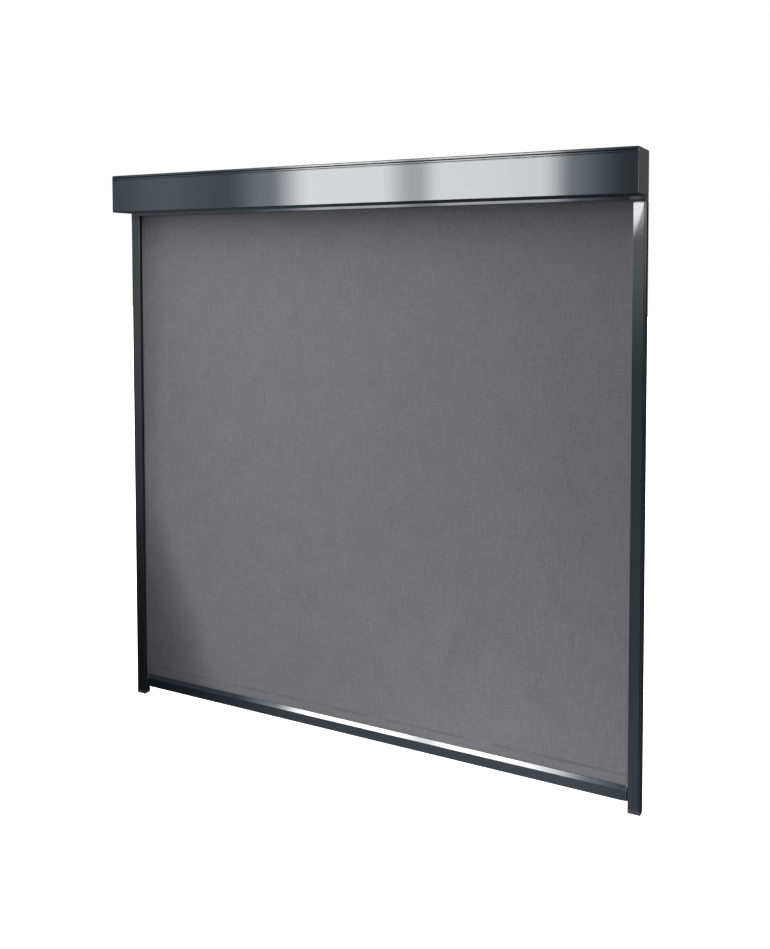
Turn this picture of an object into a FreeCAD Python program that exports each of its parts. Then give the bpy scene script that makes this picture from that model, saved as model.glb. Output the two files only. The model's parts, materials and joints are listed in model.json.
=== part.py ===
import FreeCAD, Part
import math
import os

Vector = FreeCAD.Vector

# An exterior zip screen blind, wall hung, in millimetres.
# X runs along the box, Y = 0 is the wall plane with the front towards -Y, Z is up.
# The origin is on the wall plane, midway between the guides and midway up them.

# Overall sizes
overall_width = 1800.0
guide_length = 1697.0
box_height = 125.0
box_depth = 120.0
tab_drop = 16.0

# Clearances
seam_gap = 0.3
soft_gap = 0.3
turning_gap = 0.05
sliding_gap = 0.4
screw_gap = 0.2

# Driver recess of the screws
recess_width = 0.9
recess_share = 0.5
recess_depth = 1.3

# Fabric
fabric_inset = 13.0
fabric_thickness = 0.6
zip_tape_width = 10.0
zip_tape_thickness = 0.9
zip_bead_width = 4.5
zip_bead_depth = 3.6
zip_edge_inset = 0.5

# Casing profiles
casing_wall = 2.0
cover_wall = 1.8
nose_radius = 3.0
nose_height = 6.8
nose_wall = 4.8
groove_width = 3.4
groove_depth = 3.0
bead_height = 3.6
bead_round = 0.6
cover_gap = 2.6
cover_top_round = 0.8
cover_front_round = 3.0
cover_inner_round = 1.2
lip_drop = 8.0
lip_tip_wall = 1.4
lip_front_gap = 0.2
hook_depth = 6.0
hook_wall = 1.4
hook_shelf_wall = 1.5
catch_wall = 1.2
catch_front_gap = 1.2
port_bore = 2.15
port_wall = 1.9
port_rise_low = 14.0
port_front_inset = 15.0

# End caps
cap_plate = 4.0
cap_rim_depth = 14.0
cap_edge_width = 6.0
cap_rim_wall = 2.5
cap_front_round = 4.5
cap_back_round = 7.0
cap_edge_round = 2.2
ledge_reach = 14.0
ledge_thickness = 4.0
ledge_front_inset = 14.0
tab_wall = 2.4
cap_screw_radius = 2.1
cap_screw_head_radius = 4.0
cap_screw_head_depth = 2.2
cap_screw_length = 32.0

# Screws that hold the front cover from below
cover_screw_radius = 2.0
cover_screw_head_radius = 3.6
cover_screw_head_depth = 1.4
cover_screw_length = 7.5
cover_screw_insets = (32.0, 76.0)

# Roller
roller_height = 62.0
tube_radius = 39.0
tube_wall = 1.5
tube_end_gap = 20.0
roll_thickness = 1.4
roll_gap = 0.05
zip_roll_width = 9.0
key_width = 9.0
key_depth = 6.5
key_wall = 1.4
key_slot = 1.8
rod_radius = 2.2

# Motor, inside the right end of the tube
motor_radius = 25.0
motor_length = 560.0
motor_wall = 1.5
gearbox_length = 115.0
brake_length = 45.0
rotor_length = 180.0
motor_head_radius = 28.0
motor_head_length = 20.0
motor_pin_side = 16.0
motor_pin_length = 6.0
crown_length = 22.0
crown_inset = 4.0
wheel_length = 28.0
wheel_gap = 6.0
shaft_radius = 8.0
shaft_seat = 12.0
rivet_radius = 2.0
rivet_length = 5.0
rivet_count = 4
rivet_start_angle = 45.0

# Idler, inside the left end of the tube
idler_plug_length = 60.0
idler_pin_radius = 6.0
idler_pin_length = 82.0
bearing_radius = 12.0
bearing_length = 9.0
bearing_wall = 4.0
bearing_gap = 0.03

# Brackets on the end caps
bracket_side = 72.0
bracket_thickness = 3.0
bracket_round = 8.0
bracket_standoff = 4.0
bracket_boss_radius = 5.5
bracket_screw_offset = 28.0
bracket_screw_radius = 2.0
bracket_screw_head_radius = 4.2
bracket_screw_head_height = 2.4
bracket_screw_grip = 3.5

# Side guides
guide_width = 36.0
guide_depth = 26.0
guide_wall = 2.0
guide_corner_round = 2.6
guide_edge_round = 0.8
strip_width = 4.6
strip_gap = 0.8
rib_from_outer = 15.6
rib_wall = 1.6
inner_wall = 1.8
leg_wall = 1.6
leg_length = 4.7
mouth_width = 10.6

# Zip channel inside each guide
channel_inset = 0.8
channel_wall = 1.4
channel_slot = 2.4
channel_nose = 5.2
channel_cavity_width = 8.5
channel_cavity_depth = 7.2
cushion_depth = 7.4

# Ends of the guides
plug_height = 12.0
plug_fit = 0.25
plug_spigot_height = 28.0
stop_fit = 0.4
funnel_mouth = 13.0
funnel_inset = 2.4

# Bottom bar
bar_clearance = 27.0
bar_end_gap = 4.5
bar_depth = 18.0
bar_height = 41.0
bar_face_height = 29.5
bar_top_width = 4.4
bar_wall = 1.8
bar_round = 1.4
seal_height = 3.0
seal_width = 9.0
seal_stem_width = 3.6
seal_head_width = 6.6
seal_head_height = 1.6
keder_radius = 3.0
keder_drop = 6.6
weight_depth = 11.0
weight_height = 16.0
weight_end_gap = 16.0
bar_cap_thickness = 3.0
bar_cap_spigot = 10.0
bar_cap_fit = 0.2
tongue_thickness = 1.6
tongue_reach = 12.0
tongue_height = 40.0

# Fixings
guide_fixing_pitch = 465.0
guide_fixing_count = 4
guide_fixing_radius = 3.25
guide_fixing_from_outer = 8.2
box_fixing_pitch = 560.0
box_fixing_count = 4
box_fixing_radius = 3.5
box_fixing_drop = 16.5
cable_from_end = 80.0
cable_rise = 87.0
cable_bore = 3.5
grommet_radius = 7.0
grommet_flange = 9.5
grommet_flange_thickness = 2.0

# Places worked out from the sizes
half_width = overall_width / 2
guide_top = guide_length / 2
guide_bottom = -guide_length / 2
box_bottom = guide_top + tab_drop
box_top = box_bottom + box_height
front_y = -box_depth
fabric_y = -fabric_inset
fabric_front = fabric_y - fabric_thickness / 2
fabric_back = fabric_y + fabric_thickness / 2
rim_x = half_width - cap_rim_depth
plate_x = half_width - cap_plate
cover_end = rim_x - seam_gap
cap_edge_x = half_width - cap_edge_width
profile_end = cap_edge_x - seam_gap
guide_inner_x = half_width - guide_width
guide_front_y = -guide_depth

roll_radius = tube_radius + roll_thickness
axis_y = fabric_front - soft_gap - roll_radius
axis_z = box_bottom + roller_height
tube_inner = tube_radius - tube_wall
tube_end = plate_x - tube_end_gap
insert_radius = tube_inner - turning_gap
bracket_outer_x = plate_x - bracket_standoff
bracket_inner_x = bracket_outer_x - bracket_thickness

lip_back_y = guide_front_y - lip_front_gap
lip_front_y = lip_back_y - cover_wall
lip_bottom = box_bottom - lip_drop
shelf_z = box_top - nose_height - groove_width - bead_height
cover_top = shelf_z - cover_gap

port_outer = port_bore + port_wall
port_seat = casing_wall + port_outer - seam_gap
port_places = (
    (-port_seat, box_top - port_seat),
    (-port_seat, box_bottom + port_rise_low),
    (front_y + port_front_inset, box_top - port_seat),
)

cavity_start = guide_inner_x + channel_inset + channel_nose
cavity_end = cavity_start + channel_cavity_width
channel_end = cavity_end + channel_wall
rib_x = half_width - rib_from_outer
mouth_front = fabric_y - mouth_width / 2
mouth_back = fabric_y + mouth_width / 2

zip_outer_x = cavity_end - zip_edge_inset - (channel_cavity_width - zip_bead_width) / 2
fabric_edge_x = zip_outer_x - zip_tape_width

bar_bottom = guide_bottom + bar_clearance
bar_metal_bottom = bar_bottom + seal_height
bar_top = bar_metal_bottom + bar_height
bar_end = guide_inner_x - bar_end_gap
bar_metal_end = bar_end - bar_cap_thickness
bar_front = fabric_y - bar_depth / 2
bar_back = fabric_y + bar_depth / 2
keder_z = bar_top - keder_drop
keder_bore = keder_radius + soft_gap
hem_top = bar_top + 2 * bar_round


# Drawing helpers

def outline_face(points, place):
    """Face inside a closed outline; a point is (a, b) or (a, b, corner radius)."""
    corners = [Vector(point[0], point[1], 0) for point in points]
    radii = [point[2] if len(point) > 2 else 0.0 for point in points]
    count = len(corners)
    ends = []
    for index, corner in enumerate(corners):
        radius = radii[index]
        if radius <= 0:
            ends.append((corner, None, corner))
            continue
        before = (corners[index - 1] - corner).normalize()
        after = (corners[(index + 1) % count] - corner).normalize()
        half_angle = before.getAngle(after) / 2
        reach = radius / math.tan(half_angle)
        middle = (before + after).normalize()
        nearest = radius / math.sin(half_angle) - radius
        ends.append((corner + before * reach, corner + middle * nearest, corner + after * reach))
    edges = []
    for index, (start, middle, end) in enumerate(ends):
        if middle is not None:
            edges.append(Part.Arc(place(start), place(middle), place(end)).toShape())
        following = ends[(index + 1) % count][0]
        if (following - end).Length > 1e-6:
            edges.append(Part.LineSegment(place(end), place(following)).toShape())
    return Part.Face(Part.Wire(edges))


def along_x(points, x_from, x_to):
    """Solid of a (y, z) outline drawn out along X."""
    face = outline_face(points, lambda point: Vector(x_from, point.x, point.y))
    return face.extrude(Vector(x_to - x_from, 0, 0))


def along_z(points, z_from, z_to):
    """Solid of an (x, y) outline drawn out along Z."""
    face = outline_face(points, lambda point: Vector(point.x, point.y, z_from))
    return face.extrude(Vector(0, 0, z_to - z_from))


def block(x_from, x_to, y_from, y_to, z_from, z_to):
    """Box between two corners."""
    return Part.makeBox(x_to - x_from, y_to - y_from, z_to - z_from, Vector(x_from, y_from, z_from))


def rod(radius, start, direction, length):
    """Round bar of a radius from a start point."""
    return Part.makeCylinder(radius, length, start, direction)


def rod_x(radius, x_from, x_to, y, z):
    """Round bar along X."""
    return rod(radius, Vector(x_from, y, z), Vector(1, 0, 0), x_to - x_from)


def ring_x(outer, inner, x_from, x_to, y, z):
    """Tube along X."""
    return rod_x(outer, x_from, x_to, y, z).cut(rod_x(inner, x_from, x_to, y, z))


def countersunk(shank_radius, head_radius, head_depth, length, head_face, direction):
    """Countersunk screw whose flat head lies at head_face and whose shank follows direction."""
    head = Part.makeCone(head_radius, shank_radius, head_depth, head_face, direction)
    return head.fuse(rod(shank_radius, head_face, direction, length)).removeSplitter()


def cross_recess(head_face, inward, head_radius):
    """Two crossed slots that a screwdriver takes, sunk into a screw head from its face."""
    axes = (Vector(1, 0, 0), Vector(0, 1, 0), Vector(0, 0, 1))
    across = [axis for axis in axes if abs(axis.dot(inward)) < 0.5]
    reach = head_radius * recess_share
    slots = []
    for long_way, short_way in (across, across[::-1]):
        half = long_way * reach + short_way * (recess_width / 2)
        corners = zip(head_face - half, head_face + half + inward * recess_depth)
        (x_from, x_to), (y_from, y_to), (z_from, z_to) = [sorted(pair) for pair in corners]
        slots.append(block(x_from, x_to, y_from, y_to, z_from, z_to))
    return slots


def joined(first, *others):
    """One solid out of touching or overlapping solids."""
    return first.fuse(list(others)).removeSplitter()


def to_left(shape):
    """The same shape on the left side of the blind."""
    return shape.mirror(Vector(0, 0, 0), Vector(1, 0, 0))


def save(name, *solids):
    """Write the solids of one piece, or one group of like pieces, to its own file."""
    found = [solid for shape in solids for solid in shape.Solids]
    shape = found[0] if len(found) == 1 else Part.makeCompound(found)
    if not shape.isValid():
        print("not valid:", name)
    shape.exportStep("parts/" + name + ".step")


def save_pair(name, *solids):
    """Write a right-hand piece and its mirror image on the left."""
    save(name + "_right", *solids)
    save(name + "_left", *[to_left(solid) for solid in solids])


def spread(pitch, count):
    """Places with a pitch, centred on zero."""
    return [(index - (count - 1) / 2) * pitch for index in range(count)]


# Casing

catch_front = front_y + cover_wall + catch_front_gap
catch_back = catch_front + catch_wall
hook_front = catch_back + sliding_gap
hook_back = hook_front + hook_wall
hanger_front = hook_back + sliding_gap
hanger_back = hanger_front + hook_shelf_wall
hook_bottom = cover_top - hook_depth
catch_floor = hook_bottom - seam_gap
catch_top = cover_top - hook_shelf_wall - 2 * sliding_gap


def casing_back_profile():
    """Back and top of the box with a V groove, and the catch that the front cover hangs in."""
    groove_top = box_top - nose_height
    groove_bottom = groove_top - groove_width
    shelf_top = shelf_z + hook_shelf_wall
    outline = [
        (0, lip_bottom),
        (0, box_top),
        (front_y, box_top, nose_radius),
        (front_y, groove_top, bead_round),
        (front_y + groove_depth, (groove_top + groove_bottom) / 2),
        (front_y, groove_bottom, bead_round),
        (front_y, shelf_z, bead_round),
        (hanger_front, shelf_z),
        (hanger_front, catch_floor),
        (catch_back, catch_floor),
        (catch_back, catch_top),
        (catch_front, catch_top),
        (catch_front, catch_floor - catch_wall),
        (hanger_back, catch_floor - catch_wall),
        (hanger_back, shelf_top),
        (front_y + nose_wall, shelf_top),
        (front_y + nose_wall, box_top - casing_wall),
        (-casing_wall, box_top - casing_wall),
        (-casing_wall, lip_bottom),
    ]
    profile = along_x(outline, -profile_end, profile_end)
    ports = [rod_x(port_outer, -profile_end, profile_end, y, z) for y, z in port_places]
    profile = joined(profile, *ports)
    holes = [rod_x(port_bore, -profile_end, profile_end, y, z) for y, z in port_places]
    out = Vector(0, 1, 0)
    for x in spread(box_fixing_pitch, box_fixing_count):
        start = Vector(x, -2 * casing_wall, box_top - box_fixing_drop)
        holes.append(rod(box_fixing_radius, start, out, 3 * casing_wall))
    start = Vector(rim_x - cable_from_end, -2 * casing_wall, box_bottom + cable_rise)
    holes.append(rod(grommet_radius, start, out, 3 * casing_wall))
    return profile.cut(holes)


def cable_grommet():
    """Rubber grommet in the back wall for the motor's cable."""
    x = rim_x - cable_from_end
    z = box_bottom + cable_rise
    out = Vector(0, 1, 0)
    flange_y = -casing_wall - grommet_flange_thickness
    neck = grommet_radius - turning_gap
    flange = rod(grommet_flange, Vector(x, flange_y, z), out, grommet_flange_thickness)
    sleeve = rod(neck, Vector(x, flange_y, z), out, grommet_flange_thickness + casing_wall)
    bore = rod(cable_bore, Vector(x, flange_y, z), out, grommet_flange_thickness + casing_wall)
    return joined(flange, sleeve).cut(bore)


def cover_screw_places():
    """(x, y) of the right-hand screws that hold the front cover."""
    x = rim_x - ledge_reach / 2
    return [(x, front_y + inset) for inset in cover_screw_insets]


def front_cover():
    """Front face, underside and tapered drip lip of the box, hung in the catch at its top."""
    inner_y = front_y + cover_wall
    outline = [
        (front_y, cover_top, cover_top_round),
        (hook_back, cover_top),
        (hook_back, hook_bottom),
        (hook_front, hook_bottom),
        (hook_front, cover_top - hook_shelf_wall),
        (inner_y, cover_top - hook_shelf_wall),
        (inner_y, box_bottom + cover_wall, cover_inner_round),
        (lip_back_y, box_bottom + cover_wall),
        (lip_back_y, lip_bottom),
        (lip_back_y - lip_tip_wall, lip_bottom),
        (lip_front_y, box_bottom),
        (front_y, box_bottom, cover_front_round),
    ]
    cover = along_x(outline, -cover_end, cover_end)
    holes = []
    for x, y in cover_screw_places():
        for side in (-1, 1):
            start = Vector(side * x, y, box_bottom)
            holes.append(countersunk(cover_screw_radius + screw_gap, cover_screw_head_radius + screw_gap,
                                     cover_screw_head_depth, 2 * cover_wall, start, Vector(0, 0, 1)))
    return cover.cut(holes)


def front_cover_screws():
    """Two countersunk screws through the underside into the right end cap's ledge."""
    upward = Vector(0, 0, 1)
    screws = []
    for x, y in cover_screw_places():
        face = Vector(x, y, box_bottom)
        screw = countersunk(cover_screw_radius, cover_screw_head_radius, cover_screw_head_depth,
                            cover_screw_length, face, upward)
        screws.append(screw.cut(cross_recess(face, upward, cover_screw_head_radius)))
    return screws


# End caps

def cap_outline(inset):
    """(y, z) outline of an end cap with its rear tab, drawn in by an inset."""
    return [
        (-inset, guide_top + seam_gap + inset),
        (-inset, box_top - inset, cap_back_round - inset),
        (front_y + inset, box_top - inset, cap_front_round - inset),
        (front_y + inset, box_bottom + inset, cap_front_round - inset),
        (guide_front_y + inset, box_bottom + inset),
        (guide_front_y + inset, guide_top + seam_gap + inset),
    ]


def bracket_screw_places():
    """(y, z) of the four screws that hold a roller bracket."""
    return [(axis_y + side_y * bracket_screw_offset, axis_z + side_z * bracket_screw_offset)
            for side_y in (-1, 1) for side_z in (-1, 1)]


def end_cap():
    """Right end cap: plate, rim that is deep beside the cover, screw ledge, tab over the guide, bosses."""
    plate = along_x(cap_outline(0), plate_x, half_width)
    face_edges = [edge for edge in plate.Edges
                  if all(abs(vertex.X - half_width) < seam_gap for vertex in edge.Vertexes)]
    plate = plate.makeFillet(cap_edge_round, face_edges)
    rim = along_x(cap_outline(0), rim_x, plate_x).cut(along_x(cap_outline(cap_rim_wall), rim_x, plate_x))
    floor = guide_top + seam_gap
    open_tab = block(rim_x, plate_x, guide_front_y + cap_rim_wall, 0, floor, floor + 2 * cap_rim_wall)
    roof_room = block(rim_x, cap_edge_x, front_y, 0, cover_top, box_top)
    back_room = block(rim_x, cap_edge_x, guide_front_y + cap_rim_wall, 0, lip_bottom - seam_gap, box_top)
    rim = rim.cut([open_tab, roof_room, back_room])
    ledge_z = box_bottom + cover_wall + seam_gap
    ledge = block(rim_x - ledge_reach, plate_x, front_y + ledge_front_inset, guide_front_y + tab_wall,
                  ledge_z, ledge_z + ledge_thickness)
    tab = block(guide_inner_x, plate_x, guide_front_y, guide_front_y + tab_wall,
                floor, ledge_z + ledge_thickness)
    bosses = [rod_x(bracket_boss_radius, bracket_outer_x, plate_x, y, z) for y, z in bracket_screw_places()]
    cap = joined(plate, rim, ledge, tab, *bosses)
    holes = [rod_x(bracket_screw_radius, bracket_outer_x, bracket_outer_x + bracket_screw_grip, y, z)
             for y, z in bracket_screw_places()]
    for y, z in port_places:
        holes.append(countersunk(cap_screw_radius + screw_gap, cap_screw_head_radius + screw_gap,
                                 cap_screw_head_depth, 2 * cap_plate, Vector(half_width, y, z),
                                 Vector(-1, 0, 0)))
    for x, y in cover_screw_places():
        holes.append(rod(cover_screw_radius + turning_gap, Vector(x, y, box_bottom), Vector(0, 0, 1),
                         3 * ledge_thickness))
    return cap.cut(holes)


def end_cap_screws():
    """Countersunk screws through the right end cap into the profile's screw ports."""
    inward = Vector(-1, 0, 0)
    screws = []
    for y, z in port_places:
        face = Vector(half_width, y, z)
        screw = countersunk(cap_screw_radius, cap_screw_head_radius, cap_screw_head_depth,
                            cap_screw_length, face, inward)
        screws.append(screw.cut(cross_recess(face, inward, cap_screw_head_radius)))
    return screws


# Roller brackets

def bracket_plate():
    """Square plate on the bosses of the right end cap, with its screw holes."""
    half = bracket_side / 2
    outline = [(axis_y + side_y * half, axis_z + side_z * half, bracket_round)
               for side_y, side_z in ((-1, -1), (1, -1), (1, 1), (-1, 1))]
    plate = along_x(outline, bracket_inner_x, bracket_outer_x)
    return plate.cut([rod_x(bracket_screw_radius + screw_gap, bracket_inner_x, bracket_outer_x, y, z)
                      for y, z in bracket_screw_places()])


def bracket_screws():
    """Pan head screws of the right bracket."""
    screws = []
    for y, z in bracket_screw_places():
        shank = rod_x(bracket_screw_radius, bracket_inner_x,
                      bracket_outer_x + bracket_screw_grip, y, z)
        face_x = bracket_inner_x - bracket_screw_head_height
        head = rod_x(bracket_screw_head_radius, face_x, bracket_inner_x, y, z)
        recess = cross_recess(Vector(face_x, y, z), Vector(1, 0, 0), bracket_screw_head_radius)
        screws.append(joined(shank, head).cut(recess))
    return screws


def square_x(side, x_from, x_to):
    """Square bar along X, centred on the roller's axis."""
    half = side / 2
    return block(x_from, x_to, axis_y - half, axis_y + half, axis_z - half, axis_z + half)


def motor_bracket():
    """Bracket with the square socket that keeps the motor's head from turning."""
    return bracket_plate().cut(square_x(motor_pin_side + screw_gap, bracket_inner_x, bracket_outer_x))


bearing_outer_x = -bracket_inner_x
bearing_inner_x = bearing_outer_x + bearing_length
seat_radius = bearing_radius + bearing_wall


def idler_bracket():
    """Left bracket with the round seat of the idler's bearing."""
    plate = to_left(bracket_plate())
    seat = rod_x(seat_radius, -bracket_outer_x, bearing_inner_x, axis_y, axis_z)
    bore = rod_x(bearing_radius, bearing_outer_x, bearing_inner_x, axis_y, axis_z)
    pin_room = rod_x(idler_pin_radius + sliding_gap, -bracket_outer_x, bearing_outer_x, axis_y, axis_z)
    return joined(plate, seat).cut([bore, pin_room])


def idler_bearing():
    """Bearing bush that the idler's pin turns in."""
    return ring_x(bearing_radius, idler_pin_radius + bearing_gap, bearing_outer_x, bearing_inner_x,
                  axis_y, axis_z)


# Roller

def key_block(width, outer, inner, x_from, x_to):
    """Bar that lies under the roller's surface between two radii."""
    return block(x_from, x_to, axis_y - width / 2, axis_y + width / 2, axis_z - outer, axis_z - inner)


def key_floor():
    """Radius at which the tube's key groove ends."""
    return tube_inner - key_depth


def roller_tube():
    """Round tube with an inward groove that grips the fabric's rod and drives the inserts."""
    tube = ring_x(tube_radius, tube_inner, -tube_end, tube_end, axis_y, axis_z)
    groove = key_block(key_width, tube_inner + turning_gap, key_floor(), -tube_end, tube_end)
    tube = joined(tube, groove)
    chamber = key_block(key_width - 2 * key_wall, tube_inner - turning_gap, key_floor() + key_wall,
                        -tube_end, tube_end)
    slot = key_block(key_slot, tube_radius + turning_gap, tube_inner - 2 * tube_wall, -tube_end, tube_end)
    holes = [drive_rivet(radius=rivet_radius + turning_gap, angle=angle, lift=turning_gap)
             for angle in rivet_angles()]
    return tube.cut([chamber, slot] + holes)


def insert_body(x_from, x_to):
    """Round plug that fits the tube and its key groove."""
    plug = rod_x(insert_radius, x_from, x_to, axis_y, axis_z)
    notch = key_block(key_width + 2 * turning_gap, tube_radius, key_floor() - turning_gap, x_from, x_to)
    return plug.cut(notch)


def roller_keder():
    """Rod that locks the fabric's upper edge in the tube's groove."""
    middle = tube_inner - (key_depth - key_wall) / 2
    return rod_x(rod_radius, -fabric_edge_x, fabric_edge_x, axis_y, axis_z - middle)


def fabric_roll():
    """The turns of fabric that stay on the roller when the blind is down."""
    return ring_x(roll_radius, tube_radius + roll_gap, -fabric_edge_x, fabric_edge_x, axis_y, axis_z)


def zip_roll():
    """The turns of zip tape beside the fabric at the right end of the roller."""
    start = fabric_edge_x + seam_gap
    return ring_x(roll_radius, tube_radius + roll_gap, start, start + zip_roll_width, axis_y, axis_z)


head_outer_x = bracket_inner_x - seam_gap
head_inner_x = head_outer_x - motor_head_length
motor_end_x = head_inner_x - motor_length
crown_end_x = head_inner_x - crown_inset
wheel_end_x = motor_end_x - wheel_gap
wheel_start_x = wheel_end_x - wheel_length


def motor_head():
    """Fixed head of the tubular motor with its square pin."""
    head = rod_x(motor_head_radius, head_inner_x, head_outer_x, axis_y, axis_z)
    pin = square_x(motor_pin_side, head_outer_x, head_outer_x + motor_pin_length)
    return joined(head, pin)


def motor_housing():
    """Steel tube round the motor's drive train."""
    return ring_x(motor_radius, motor_radius - motor_wall, motor_end_x, head_inner_x, axis_y, axis_z)


def motor_part(start, length):
    """Round part of the drive train that fills the housing over a length."""
    return rod_x(motor_radius - motor_wall, start, start + length, axis_y, axis_z)


def motor_gearbox():
    """Gearbox at the motor's end, with the bearing bore of its output shaft."""
    bore_end_x = motor_end_x + shaft_seat + seam_gap
    bore = rod_x(shaft_radius + turning_gap, motor_end_x, bore_end_x, axis_y, axis_z)
    return motor_part(motor_end_x, gearbox_length).cut(bore)


def motor_brake():
    """Spring brake between the gearbox and the motor's rotor can."""
    return motor_part(motor_end_x + gearbox_length, brake_length)


def motor_rotor_can():
    """Can that holds the motor's rotor and windings."""
    return motor_part(motor_end_x + gearbox_length + brake_length, rotor_length)


def motor_output_shaft():
    """Shaft from the gearbox through the drive wheel."""
    return rod_x(shaft_radius, wheel_start_x, motor_end_x + shaft_seat, axis_y, axis_z)


def motor_crown():
    """Ring on the motor that carries the tube's right end and counts its turns."""
    ring = insert_body(crown_end_x - crown_length, crown_end_x)
    bore = rod_x(motor_radius + turning_gap, crown_end_x - crown_length, crown_end_x, axis_y, axis_z)
    return ring.cut(bore)


def motor_drive_wheel():
    """Wheel on the output shaft that drives the tube."""
    wheel = insert_body(wheel_start_x, wheel_end_x)
    bore = rod_x(shaft_radius, wheel_start_x, wheel_end_x, axis_y, axis_z)
    return wheel.cut([bore] + [drive_rivet(rivet_radius, angle, 0.0) for angle in rivet_angles()])


def rivet_angles():
    """Angles of the rivets round the tube, in degrees."""
    return [rivet_start_angle + index * 360.0 / rivet_count for index in range(rivet_count)]


def drive_rivet(radius, angle, lift):
    """One radial rivet through the tube into the drive wheel, ending flush with the tube."""
    outward = Vector(0, math.cos(math.radians(angle)), math.sin(math.radians(angle)))
    middle = Vector((wheel_start_x + wheel_end_x) / 2, axis_y, axis_z)
    start = middle + outward * (tube_radius - rivet_length)
    return rod(radius, start, outward, rivet_length - turning_gap + 2 * lift)


def idler_plug():
    """Plug in the tube's left end that holds the pin."""
    plug = insert_body(-tube_end, -tube_end + idler_plug_length)
    return plug.cut(rod_x(idler_pin_radius, -tube_end, -tube_end + idler_plug_length, axis_y, axis_z))


def idler_pin():
    """Steel pin from the plug into the bearing."""
    start = bearing_outer_x + seam_gap
    return rod_x(idler_pin_radius, start, start + idler_pin_length, axis_y, axis_z)


# Fabric and its edges

def fabric_screen():
    """Taut fabric from the roller down into the bottom bar."""
    upper = block(-fabric_edge_x, fabric_edge_x, fabric_front, fabric_back, hem_top, axis_z)
    hem_half = bar_metal_end - 2 * bar_wall
    lower = block(-hem_half, hem_half, fabric_front, fabric_back,
                  keder_z + keder_bore, hem_top)
    return joined(upper, lower)


def zip_tape():
    """Zip along the fabric's right edge: a flat tape and its raised bead."""
    top = axis_z - math.sqrt(roll_radius ** 2 - (roll_radius - zip_bead_depth / 2) ** 2) - 2 * soft_gap
    tape_half = zip_tape_thickness / 2
    bead_half = zip_bead_depth / 2
    bead_x = zip_outer_x - zip_bead_width
    outline = [
        (fabric_edge_x, fabric_y - tape_half),
        (bead_x, fabric_y - tape_half),
        (bead_x, fabric_y - bead_half),
        (zip_outer_x, fabric_y - bead_half),
        (zip_outer_x, fabric_y + bead_half),
        (bead_x, fabric_y + bead_half),
        (bead_x, fabric_y + tape_half),
        (fabric_edge_x, fabric_y + tape_half),
    ]
    return along_z(outline, hem_top, top)


# Side guides

def guide_base():
    """Right guide's base: wall face, outer side with its front strip, rib and inner rear wall."""
    strip_x = half_width - strip_width
    wall_x = half_width - guide_wall
    outline = [
        (guide_inner_x, 0),
        (half_width, 0),
        (half_width, guide_front_y, guide_corner_round),
        (strip_x, guide_front_y, guide_edge_round),
        (strip_x, guide_front_y + guide_wall),
        (wall_x, guide_front_y + guide_wall, guide_edge_round),
        (wall_x, -guide_wall),
        (rib_x + rib_wall, -guide_wall),
        (rib_x + rib_wall, guide_front_y + guide_wall + sliding_gap),
        (rib_x, guide_front_y + guide_wall + sliding_gap),
        (rib_x, -guide_wall),
        (guide_inner_x + inner_wall, -guide_wall),
        (guide_inner_x + inner_wall, mouth_back),
        (guide_inner_x, mouth_back),
    ]
    base = along_z(outline, guide_bottom + plug_height, guide_top)
    holes = [rod(guide_fixing_radius, Vector(half_width - guide_fixing_from_outer, -2 * guide_wall, z),
                 Vector(0, 1, 0), 3 * guide_wall)
             for z in spread(guide_fixing_pitch, guide_fixing_count)]
    return base.cut(holes)


def guide_cover():
    """Right guide's cover: front face, inner front wall and two snap legs."""
    edge_x = half_width - strip_width - strip_gap
    inside_y = guide_front_y + guide_wall
    leg_end = inside_y + leg_length
    inner_leg_x = rib_x - seam_gap
    outline = [
        (guide_inner_x, guide_front_y, guide_edge_round),
        (edge_x, guide_front_y, guide_edge_round),
        (edge_x, leg_end),
        (edge_x - leg_wall, leg_end),
        (edge_x - leg_wall, inside_y),
        (inner_leg_x, inside_y),
        (inner_leg_x, leg_end),
        (inner_leg_x - leg_wall, leg_end),
        (inner_leg_x - leg_wall, inside_y),
        (guide_inner_x + inner_wall, inside_y),
        (guide_inner_x + inner_wall, mouth_front),
        (guide_inner_x, mouth_front),
    ]
    return along_z(outline, guide_bottom + plug_height, guide_top)


def zip_channel():
    """Plastic channel that holds the zip's bead in the right guide."""
    nose_x = guide_inner_x + channel_inset
    slot_front = fabric_y - channel_slot / 2
    slot_back = fabric_y + channel_slot / 2
    cavity_front = fabric_y - channel_cavity_depth / 2
    cavity_back = fabric_y + channel_cavity_depth / 2
    shell_x = cavity_start - channel_wall
    outline = [
        (nose_x, slot_front - channel_wall),
        (nose_x, slot_front),
        (cavity_start, slot_front),
        (cavity_start, cavity_front),
        (cavity_end, cavity_front),
        (cavity_end, cavity_back),
        (cavity_start, cavity_back),
        (cavity_start, slot_back),
        (nose_x, slot_back),
        (nose_x, slot_back + channel_wall),
        (shell_x, slot_back + channel_wall),
        (shell_x, cavity_back + channel_wall),
        (channel_end, cavity_back + channel_wall),
        (channel_end, cavity_front - channel_wall),
        (shell_x, cavity_front - channel_wall),
        (shell_x, slot_front - channel_wall),
    ]
    return along_z(outline, guide_bottom + plug_height, guide_top)


def channel_cushion():
    """Foam strip that presses the right channel towards the fabric."""
    half = cushion_depth / 2
    return block(channel_end, rib_x, fabric_y - half, fabric_y + half,
                 guide_bottom + plug_height + plug_spigot_height, guide_top)


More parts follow.
